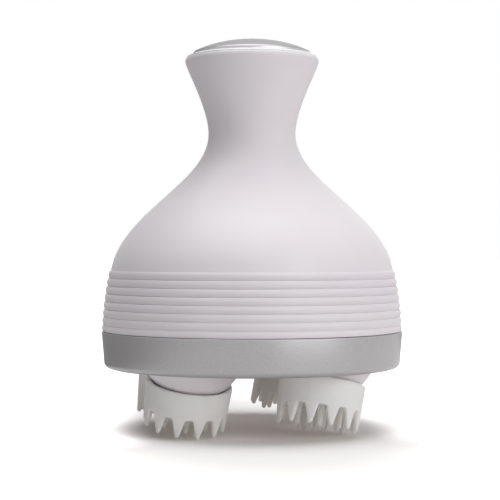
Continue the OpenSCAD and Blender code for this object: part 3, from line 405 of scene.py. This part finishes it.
def cutSocketRecess():
    # the charging socket sits in a shallow round recess at the back
    r = recess
    low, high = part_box("charging_socket")
    centreZ = (low.z + high.z) / 2 / mm
    face = high.y / mm
    cutter = bmesh.new()
    profile = [(0, r["start"]), (r["radius"], r["start"]), (r["radius"], face - r["edge"]),
               (r["mouthRadius"], face), (r["mouthRadius"], r["end"]), (0, r["end"])]
    turn(cutter, profile, r["steps"],
         Matrix.Translation((0, 0, centreZ)) @ Matrix.Rotation(-math.pi / 2, 4, "X"))
    bmesh.ops.recalc_face_normals(cutter, faces=cutter.faces)
    data = bpy.data.meshes.new("recessCutter")
    cutter.to_mesh(data)
    cutter.free()
    data.transform(Matrix.Scale(mm, 4))
    tool = bpy.data.objects.new("recessCutter", data)
    bpy.context.scene.collection.objects.link(tool)
    cut = housingShell.modifiers.new("recess", "BOOLEAN")
    cut.object = tool
    cut.solver = "EXACT"
    bpy.context.view_layer.update()
    cutShell = housingShell.evaluated_get(bpy.context.evaluated_depsgraph_get())
    shape = bpy.data.meshes.new_from_object(cutShell)
    housingShell.modifiers.clear()
    housingShell.data = shape
    shape.set_sharp_from_angle(angle=math.radians(housing["sharp"]))
    bpy.data.objects.remove(tool)


cutSocketRecess()
print("housing: made")


# silver ring round the base

ring = {"radius": 46.2, "draft": 0.7, "edge": 1.7, "edgeStart": -86, "edgeSteps": 12, "wall": 2.3,
        "ledge": 1.9, "ledgeDepth": 2.0, "topRound": 0.35, "roundSteps": 5, "steps": 256}


def makeRing():
    r = ring
    low, high = bottomOf("silver_ring"), topOf("silver_ring")
    outer, inner = r["radius"], r["radius"] - r["wall"]
    ledgeHigh = bottomOf("main_shell")
    ledgeLow = ledgeHigh - r["ledgeDepth"]
    edgeCentre = (outer - r["draft"] - r["edge"], low + r["edge"])
    profile = (arc(edgeCentre, r["edge"], r["edgeStart"], 0, r["edgeSteps"])
               + arc((outer - r["topRound"], high - r["topRound"]), r["topRound"], 0, 90, r["roundSteps"])
               + [(inner, high), (inner, ledgeHigh), (inner - r["ledge"], ledgeHigh),
                  (inner - r["ledge"], ledgeLow), (inner, ledgeLow)])
    mesh = bmesh.new()
    turn(mesh, profile, r["steps"])
    finishPiece("silverRing", mesh, "housing", "silver_paint", ["silver_ring"])


makeRing()
print("silver ring: made")


# bezel and domed button

bezel = {
    "wellRadius": 18.6, "topDrop": 0.7, "bevel": 0.85, "rimFlat": 0.12, "rimRound": 0.15, "lipRound": 0.2,
    "lipInset": 0.25, "seatInset": 0.1, "roundSteps": 5, "guideRadius": 11.9, "skirtRadius": 17.5,
    "skirtWall": 1.6, "skirtDrop": 3.7, "floor": 0.8, "wellDepth": 0.95, "steps": 192,
}


def makeBezel():
    b = bezel
    top = topOf("top_bezel") - b["topDrop"]
    seat = top - b["bevel"]
    well = top - b["wellDepth"]
    outer = b["wellRadius"] + b["topDrop"] + b["bevel"]
    rimCentre = (b["wellRadius"] + b["rimFlat"] + b["rimRound"], top - b["rimRound"])
    profile = ([(b["skirtRadius"], seat - b["skirtDrop"]), (b["skirtRadius"], seat),
                (outer - b["seatInset"], seat)]
               + arc((outer - b["lipInset"], seat + b["lipRound"]), b["lipRound"], -45, 45, b["roundSteps"])
               + arc(rimCentre, b["rimRound"], 45, 135, b["roundSteps"])
               + [(b["wellRadius"], well), (b["guideRadius"], well), (b["guideRadius"], well - b["floor"]),
                  (b["skirtRadius"] - b["skirtWall"], well - b["floor"]),
                  (b["skirtRadius"] - b["skirtWall"], seat - b["skirtDrop"])])
    mesh = bmesh.new()
    turn(mesh, profile, b["steps"])
    finishPiece("topBezel", mesh, "housing", "bezel_plastic", ["top_bezel"])


# the band colour and blend below are a painted highlight on the button's band
button = {
    "radius": 18.3, "lift": 0.7, "band": 0.8, "bandLean": 0.18, "bandStart": 0.1,
    "bandRises": (0, 0.1, 0.55, 0.7), "bandHighlightColour": "#bbb9bc", "bandHighlightBlend": 0.1, "crown": 4.0,
    "crownShape": 1.37, "crownSteps": 40, "edgeRound": 0.15, "wall": 1.6, "skirt": 1.2, "guideRadius": 11.6,
    "guideWall": 1.2, "stemRadius": 2, "sharp": 50, "steps": 192,
}


def crownHeight(radius):
    # elliptical crown over the button's leaning band
    half = button["crownShape"] * button["radius"]
    rim = math.sqrt(1 - 1 / button["crownShape"] ** 2)
    return button["crown"] * (math.sqrt(1 - (radius / half) ** 2) - rim) / (1 - rim)


def makeButton():
    b = button
    rim = topOf("top_bezel") - bezel["topDrop"]
    edge = rim + b["band"]
    skirtLow = rim - bezel["wellDepth"] + b["lift"]
    skirtIn = b["radius"] - b["skirt"]
    lean = b["bandLean"] / b["band"]
    band = [(skirtIn, skirtLow), (b["radius"], skirtLow), (b["radius"], rim - b["bandStart"])]
    band += [(b["radius"] - lean * rise, rim + rise) for rise in b["bandRises"]]
    band.append((b["radius"] - b["bandLean"] - b["edgeRound"] / 4, edge))
    crownEdge = b["radius"] - b["bandLean"] - b["edgeRound"]
    radii = [crownEdge * k / b["crownSteps"] for k in range(b["crownSteps"], -1, -1)]
    crown = [(radius, edge + crownHeight(radius)) for radius in radii]
    stem = topOf("switch_plunger")
    low = bottomOf("power_button")
    guideOut, guideIn = b["guideRadius"], b["guideRadius"] - b["guideWall"]
    under = {r: edge + crownHeight(r) - b["wall"] for r in (b["stemRadius"], guideIn, guideOut, skirtIn)}
    profile = (band + crown
               + [(0, stem), (b["stemRadius"], stem), (b["stemRadius"], under[b["stemRadius"]]),
                  (guideIn, under[guideIn]), (guideIn, low), (guideOut, low), (guideOut, under[guideOut]),
                  (skirtIn, under[skirtIn])])
    mesh = bmesh.new()
    turn(mesh, profile, b["steps"])
    piece = finishPiece("powerButton", mesh, "button", "silver_paint", ["power_button"], sharp=b["sharp"])
    paint = silverPaint("silverPaintOnCapShadedAndHighlit", capShadedPaintLook)
    # painted highlight on the button's band, below the crown's edge
    paintHighlightBelow(paint, edge, b["bandHighlightBlend"], b["bandHighlightColour"])
    piece.data.materials[0] = paint


makeBezel()
makeButton()
print("bezel and button: made")


# silicone claw cups, each drawn with its depth measured from the centre it swings round

cup = {
    "tilt": 14.5, "leans": (172, 242, 117, 230), "row": 28.0, "swingRise": 6.9,
    "rim": 10.2, "radius": 12.9, "draft": 2.75, "inner": 15.6, "lip": 0.55, "lipSteps": 14, "wallSteps": 160,
    "throat": (11.55, 11.2, 10.6, 10.0), "wallDepths": (12.5, 14.5, 16.5), "palm": 17.9, "palmEdge": 0.3,
    "palmInset": 0.4, "pocketRadius": 10.65, "pocketNeck": 9.45, "pocketTop": 14.8, "pocketFloor": 16.8,
    "root": 18.2, "reach": 24.0, "fingers": 12, "phase": 11, "overlap": 0.25, "sink": 1.0, "gap": 1.45,
    "gapCorner": 0.7, "tipWidth": 1.5, "rootThick": 1.9, "tipThick": 1.3, "taperStep": 0.6,
    "squareness": 4.0, "squareFade": 1.1, "sides": 28,
    "pinRoot": 0.9, "pinTip": 0.65, "pinFillet": 0.5, "filletTurns": (0.0, 0.4, 0.8, 1.2, 1.57),
    "pinSides": 24, "pinTipSteps": 6, "middleCount": 6, "middleRow": 7.0, "centreCount": 3, "centreRow": 2.6,
    "voxel": 0.17, "quickVoxel": 0.34, "soften": 0.5, "softenRounds": 3, "lighten": 0.45,
}


def cupOut(depth):
    return cup["radius"] - (depth - cup["rim"]) * math.tan(math.radians(cup["draft"]))


def cupWall(mesh):
    c = cup
    lipDepth = c["rim"] + c["lip"]
    lipCentre = (cupOut(lipDepth) - c["lip"], lipDepth)
    throat = [(r, math.sqrt(c["inner"] ** 2 - r * r)) for r in c["throat"] + (c["pocketNeck"],)]
    profile = (arc(lipCentre, c["lip"], -180, 0, c["lipSteps"])
               + [(cupOut(d), d) for d in c["wallDepths"] + (c["palm"] - c["palmEdge"],)]
               + [(cupOut(c["palm"]) - c["palmInset"], c["palm"]), (0, c["palm"]), (0, c["pocketFloor"]),
                  (c["pocketRadius"], c["pocketFloor"]), (c["pocketRadius"], c["pocketTop"]),
                  (c["pocketNeck"], c["pocketTop"])] + throat[::-1])
    turn(mesh, profile, c["wallSteps"])


def fingerHalfWidth(depth):
    # half the width of an outer finger: flared root between round gaps, taper, round tip
    c = cup
    halfGap = cupOut(c["root"]) * math.sin(math.pi / c["fingers"])
    gapDepth = c["root"] + c["gapCorner"]
    tipRadius = c["tipWidth"] / 2
    tipDepth = c["reach"] - tipRadius
    if depth <= c["root"]:
        return halfGap + c["overlap"]
    if depth < gapDepth:
        corner = math.sqrt(max(c["gapCorner"] ** 2 - (gapDepth - depth) ** 2, 0))
        return halfGap - c["gap"] + c["gapCorner"] - corner
    if depth < tipDepth:
        share = (depth - gapDepth) / (tipDepth - gapDepth)
        return (halfGap - c["gap"]) * (1 - share) + tipRadius * share
    return math.sqrt(max(tipRadius ** 2 - (depth - tipDepth) ** 2, 0.0001))


def fingerDepths():
    # close together where the gap's corner and the tip are round
    c = cup
    quarter = [k * math.pi / 12 for k in range(7)]
    gapDepth = c["root"] + c["gapCorner"]
    tipRadius = c["tipWidth"] / 2
    depths = [c["palm"] - c["sink"], c["palm"], c["root"]]
    depths += [c["root"] + c["gapCorner"] * (1 - math.cos(a)) for a in quarter[1:]]
    depths += [gapDepth + c["taperStep"] * k for k in range(1, 7)]
    depths += [c["reach"] - tipRadius + tipRadius * math.sin(a) for a in quarter]
    return sorted(set(round(d, 4) for d in depths))


def outerFinger(mesh, angle):
    # rounded section lofted down the finger and curved with the wall
    c = cup
    sides = c["sides"]
    roundStart = c["reach"] - c["tipThick"] / 2
    rows = []
    for depth in fingerDepths():
        half = fingerHalfWidth(depth)
        share = max(0, (depth - c["palm"]) / (c["reach"] - c["palm"]))
        thick = c["rootThick"] * (1 - share) + c["tipThick"] * share
        middle = cupOut(depth) - thick / 2
        if depth > roundStart:
            thick *= math.sqrt(max(1 - ((depth - roundStart) / (c["tipThick"] / 2)) ** 2, 0.01))
        power = 2 / (2 + c["squareness"] * max(0, 1 - share * c["squareFade"]))
        row = []
        for k in range(sides):
            a = 2 * math.pi * k / sides
            across = half * math.copysign(abs(math.cos(a)) ** power, math.cos(a))
            out = middle + thick / 2 * math.copysign(abs(math.sin(a)) ** power, math.sin(a))
            turned = math.radians(angle) + across / middle
            row.append(mesh.verts.new((out * math.cos(turned), out * math.sin(turned), depth)))
        rows.append(row)
    for low, high in zip(rows, rows[1:]):
        for k in range(sides):
            mesh.faces.new((low[k], low[(k + 1) % sides], high[(k + 1) % sides], high[k]))
    mesh.faces.new(rows[0][::-1])
    mesh.faces.new(rows[-1])


def innerFinger(mesh, row, angle):
    c = cup
    f = c["pinFillet"]
    place = Matrix.Rotation(math.radians(angle), 4, "Z") @ Matrix.Translation((row, 0, 0))
    fillet = [(c["pinRoot"] + f - f * math.sin(a), c["palm"] + f - f * math.cos(a)) for a in c["filletTurns"]]
    profile = ([(0, c["palm"] - f), (c["pinRoot"] + f, c["palm"] - f)] + fillet
               + arc((0, c["reach"] - c["pinTip"]), c["pinTip"], 0, 90, c["pinTipSteps"])[:-1]
               + [(0, c["reach"])])
    turn(mesh, profile, c["pinSides"], place)


def cupShape():
    # one cup as a closed skin: the overlapping forms are joined by a fine remesh and smoothed
    c = cup
    mesh = bmesh.new()
    cupWall(mesh)
    pitch = 360 / c["fingers"]
    for k in range(c["fingers"]):
        outerFinger(mesh, c["phase"] + pitch * k)
    for k in range(c["middleCount"]):
        innerFinger(mesh, c["middleRow"], c["phase"] + pitch / 2 + 360 / c["middleCount"] * k)
    for k in range(c["centreCount"]):
        innerFinger(mesh, c["centreRow"], c["phase"] + 360 / c["centreCount"] * k)
    bmesh.ops.recalc_face_normals(mesh, faces=mesh.faces)
    data = bpy.data.meshes.new("cupForm")
    mesh.to_mesh(data)
    mesh.free()
    form = bpy.data.objects.new("cupForm", data)
    bpy.context.scene.collection.objects.link(form)
    skin = form.modifiers.new("skin", "REMESH")
    skin.mode = "VOXEL"
    skin.voxel_size = c["voxel"]
    soften = form.modifiers.new("soften", "SMOOTH")
    soften.factor = c["soften"]
    soften.iterations = c["softenRounds"]
    lighten = form.modifiers.new("lighten", "DECIMATE")
    lighten.ratio = c["lighten"]
    bpy.context.view_layer.update()
    shape = bpy.data.meshes.new_from_object(form.evaluated_get(bpy.context.evaluated_depsgraph_get()))
    bpy.data.objects.remove(form)
    return shape


def makeCups():
    c = cup
    shape = cupShape()
    swing = bottomOf("silver_ring") + c["swingRise"]
    for k, lean in enumerate(c["leans"]):
        angle = math.radians(45 + 90 * k)
        place = (Matrix.Translation((c["row"] * math.cos(angle), c["row"] * math.sin(angle), swing))
                 @ Matrix.Rotation(math.radians(lean), 4, "Z")
                 @ Matrix.Rotation(math.radians(180 - c["tilt"]), 4, "Y"))
        mesh = bmesh.new()
        mesh.from_mesh(shape)
        bmesh.ops.transform(mesh, matrix=place, verts=mesh.verts)
        number = k + 1
        finishPiece("clawCup%d" % number, mesh, "head_%d" % number, "silicone", ["claw_cup_%d" % number],
                    sharp=180)
    print("cups:", len(shape.polygons), "faces each")


makeCups()


# floor, sky, lamps and camera

def combine(tree, operation, first, second):
    # maths on two sockets, or on a number and a socket
    node = addNode(tree, "ShaderNodeMath", {"operation": operation})
    for k, value in enumerate((first, second)):
        if isinstance(value, (int, float)):
            node.inputs[k].default_value = value
        else:
            tree.links.new(value, node.inputs[k])
    return node.outputs[0]


def easedRange(tree, value, ends, low, high):
    # eased step between two distances in millimetres
    return addNode(tree, "ShaderNodeMapRange", {
        "interpolation_type": "SMOOTHSTEP", "From Min": ends[0] * mm, "From Max": ends[1] * mm,
        "To Min": low, "To Max": high}, {"Value": value}).outputs[0]


def lengthOf(tree, vector):
    return addNode(tree, "ShaderNodeVectorMath", {"operation": "LENGTH"}, {0: vector}).outputs["Value"]


def seenRays(tree, path):
    # rays that show the white surround: straight from the camera, off gloss or through clear parts
    seen = combine(tree, "MAXIMUM", path.outputs["Is Camera Ray"], path.outputs["Is Glossy Ray"])
    return combine(tree, "MAXIMUM", seen, path.outputs["Is Transmission Ray"])


room = {"darkSide": -140}


def towardsDarkSide(tree, vector):
    # how far a vector points to the dim side of the room; azimuth from the front, towards the right
    a = math.radians(room["darkSide"])
    side = (math.sin(a), -math.cos(a), 0)
    return addNode(tree, "ShaderNodeVectorMath", {"operation": "DOT_PRODUCT", 1: side},
                   {0: vector}).outputs["Value"]


# near, far, ring, narrow, left, right and their ramps set painted shade near the object and painted light
# beside the outer heads
floorLook = {
    "colour": "#f4f3f2", "bounce": "#dadada", "near": 0.03, "far": 0.3, "ring": (70, 120), "narrow": 1.9,
    "left": 1.1, "leftRamp": (-29, -46), "right": 0.5, "rightRamp": (31, 44), "frontRamp": (-20, -45),
    # lift, under and warm set a painted glow: a faint warm lift seen by the camera and an unseen warm glow
    # near the object
    "lift": 0.03, "under": 0.09, "underRamp": (45, 75), "warm": "#fff0dc",
    "dark": 0.75, "darkRamp": (40, 150), "half": 6,
}


def paintedFloorLightAndShade(tree, place, cameraRay):
    # how much paler than paper the floor prints, as painted light and shade: little near the object,
    # a painted shade that gives its shadow a soft tail in front, and more beside the outer heads, a painted
    # light that pales the shadow's sides there
    look = floorLook
    spot = addNode(tree, "ShaderNodeSeparateXYZ", links={0: place})
    oval = addNode(tree, "ShaderNodeVectorMath", {"operation": "MULTIPLY", 1: (look["narrow"], 1, 1)},
                   {0: place})
    paintedSideLight = combine(tree, "ADD", easedRange(tree, spot.outputs["X"], look["leftRamp"], 0, look["left"]),
                     easedRange(tree, spot.outputs["X"], look["rightRamp"], 0, look["right"]))
    paintedSideLight = combine(tree, "MULTIPLY", paintedSideLight, easedRange(tree, spot.outputs["Y"], look["frontRamp"], 1, 0))
    paintedSideLight = combine(tree, "MULTIPLY", paintedSideLight, cameraRay)
    paintedNearShade = easedRange(tree, lengthOf(tree, oval.outputs[0]), look["ring"], look["near"], look["far"])
    return combine(tree, "ADD", paintedSideLight, paintedNearShade)


def paperMaterial():
    # matt white paper sweep: prints white, keeps the object's shadow and looks dimmer in gloss towards the
    # dark side;
    # a painted warm glow, faint to the camera and stronger unseen near the object, warms the shadow and
    # lights the undersides in place of bounce light
    look = floorLook
    material = bpy.data.materials.new("whitePaperFloor")
    material.use_nodes = True
    tree = material.node_tree
    tree.nodes.clear()
    place = addNode(tree, "ShaderNodeTexCoord").outputs["Object"]
    path = addNode(tree, "ShaderNodeLightPath")
    seen = seenRays(tree, path)
    dim = addNode(tree, "ShaderNodeBsdfDiffuse", {"Color": hexColour(look["bounce"])})
    white = addNode(tree, "ShaderNodeBsdfDiffuse", {"Color": hexColour(look["colour"])})
    # this extra white diffuse carries the floor's painted light and shade
    paintedLightAndShade = addNode(tree, "ShaderNodeBsdfDiffuse",
                    links={"Color": paintedFloorLightAndShade(tree, place, path.outputs["Is Camera Ray"])})
    bright = addNode(tree, "ShaderNodeAddShader", links={0: white.outputs[0], 1: paintedLightAndShade.outputs[0]})
    paper = addNode(tree, "ShaderNodeMixShader", links={"Fac": seen, 1: dim.outputs[0], 2: bright.outputs[0]})
    dark = combine(tree, "MULTIPLY", path.outputs["Is Glossy Ray"],
                   easedRange(tree, towardsDarkSide(tree, place), look["darkRamp"], 0, look["dark"]))
    black = addNode(tree, "ShaderNodeBsdfDiffuse", {"Color": (0, 0, 0, 1)})
    shaded = addNode(tree, "ShaderNodeMixShader",
                     links={"Fac": dark, 1: paper.outputs[0], 2: black.outputs[0]})
    # painted glow: the camera's faint warm lift tints the floor's shadow warm, and the unseen warm glow near
    # the object lights the cups' undersides as painted bounce light
    lift = combine(tree, "MULTIPLY", look["lift"], seen)
    under = combine(tree, "MULTIPLY", combine(tree, "SUBTRACT", 1.0, seen),
                    easedRange(tree, lengthOf(tree, place), look["underRamp"], look["under"], 0))
    glow = addNode(tree, "ShaderNodeEmission", {"Color": hexColour(look["warm"])},
                   {"Strength": combine(tree, "ADD", lift, under)})
    both = addNode(tree, "ShaderNodeAddShader", links={0: shaded.outputs[0], 1: glow.outputs[0]})
    addNode(tree, "ShaderNodeOutputMaterial", links={"Surface": both.outputs[0]})
    return material


def makeFloor():
    mesh = bmesh.new()
    bmesh.ops.create_grid(mesh, x_segments=2, y_segments=2, size=floorLook["half"])
    data = bpy.data.meshes.new("floor")
    mesh.to_mesh(data)
    mesh.free()
    floor = bpy.data.objects.new("floor", data)
    bpy.context.scene.collection.objects.link(floor)
    data.materials.append(paperMaterial())


makeFloor()

skyLook = {"fill": 0.0, "seen": 1.0, "darkest": 0.35, "darkEnds": (0.5, 1.0)}


def makeSky():
    # white to the camera, dimmer in gloss towards the dark side, no light of its own on the object
    look = skyLook
    world = bpy.data.worlds.new("paperSurround")
    bpy.context.scene.world = world
    world.use_nodes = True
    tree = world.node_tree
    tree.nodes.clear()
    path = addNode(tree, "ShaderNodeLightPath")
    way = addNode(tree, "ShaderNodeTexCoord").outputs["Generated"]
    dimmed = addNode(tree, "ShaderNodeMapRange", {
        "From Min": look["darkEnds"][0], "From Max": look["darkEnds"][1],
        "To Min": look["seen"], "To Max": look["darkest"]}, {"Value": towardsDarkSide(tree, way)}).outputs[0]
    strength = combine(tree, "MAXIMUM", dimmed, path.outputs["Is Camera Ray"])
    fill = addNode(tree, "ShaderNodeBackground", {"Color": (1, 1, 1, 1), "Strength": look["fill"]})
    white = addNode(tree, "ShaderNodeBackground", {"Color": (1, 1, 1, 1)}, {"Strength": strength})
    mix = addNode(tree, "ShaderNodeMixShader",
                  links={"Fac": seenRays(tree, path), 1: fill.outputs[0], 2: white.outputs[0]})
    addNode(tree, "ShaderNodeOutputWorld", links={"Surface": mix.outputs[0]})


makeSky()

lamps = {
    "overheadSoftbox": {"strength": 2.35, "spread": 60, "azimuth": -90, "elevation": 87},
    "frontSoftbox": {"strength": 1.42, "spread": 54, "azimuth": 37, "elevation": 18},
    "backFill": {"strength": 0.6, "spread": 50, "azimuth": 175, "elevation": 20},
}


def makeLamps():
    # azimuth is measured from the front, towards the right; the fill behind stays out of gloss
    for name, look in lamps.items():
        data = bpy.data.lights.new(name, "SUN")
        data.energy = look["strength"]
        data.angle = math.radians(look["spread"])
        lamp = bpy.data.objects.new(name, data)
        a, e = math.radians(look["azimuth"]), math.radians(look["elevation"])
        source = Vector((math.sin(a) * math.cos(e), -math.cos(a) * math.cos(e), math.sin(e)))
        lamp.rotation_euler = source.to_track_quat("Z", "Y").to_euler()
        lamp.visible_glossy = name != "backFill"
        bpy.context.scene.collection.objects.link(lamp)


makeLamps()

cameraPlace = {"turn": -7.5, "distance": 0.450, "height": 0.0557, "lens": 104.8, "sensor": 36, "near": 0.01,
               "pixels": 500, "axisX": 252.0, "horizonY": 248.0}


def makeCamera():
    # level view from just below the middle, with the axis and the horizon placed in the square frame
    p = cameraPlace
    data = bpy.data.cameras.new("studioCamera")
    data.lens = p["lens"]
    data.sensor_width = p["sensor"]
    data.clip_start = p["near"]
    camera = bpy.data.objects.new("studioCamera", data)
    a = math.radians(p["turn"])
    camera.location = (p["distance"] * math.sin(a), -p["distance"] * math.cos(a), p["height"])
    focalPixels = p["lens"] / p["sensor"] * p["pixels"]
    yaw = math.atan((p["axisX"] - p["pixels"] / 2) / focalPixels)
    pitch = math.atan((p["horizonY"] - p["pixels"] / 2) / focalPixels)
    camera.rotation_euler = (math.pi / 2 + pitch, 0, a + yaw)
    bpy.context.scene.collection.objects.link(camera)
    bpy.context.scene.camera = camera


makeCamera()
bpy.context.scene.view_settings.view_transform = "Standard"
print("floor, light and camera: set")
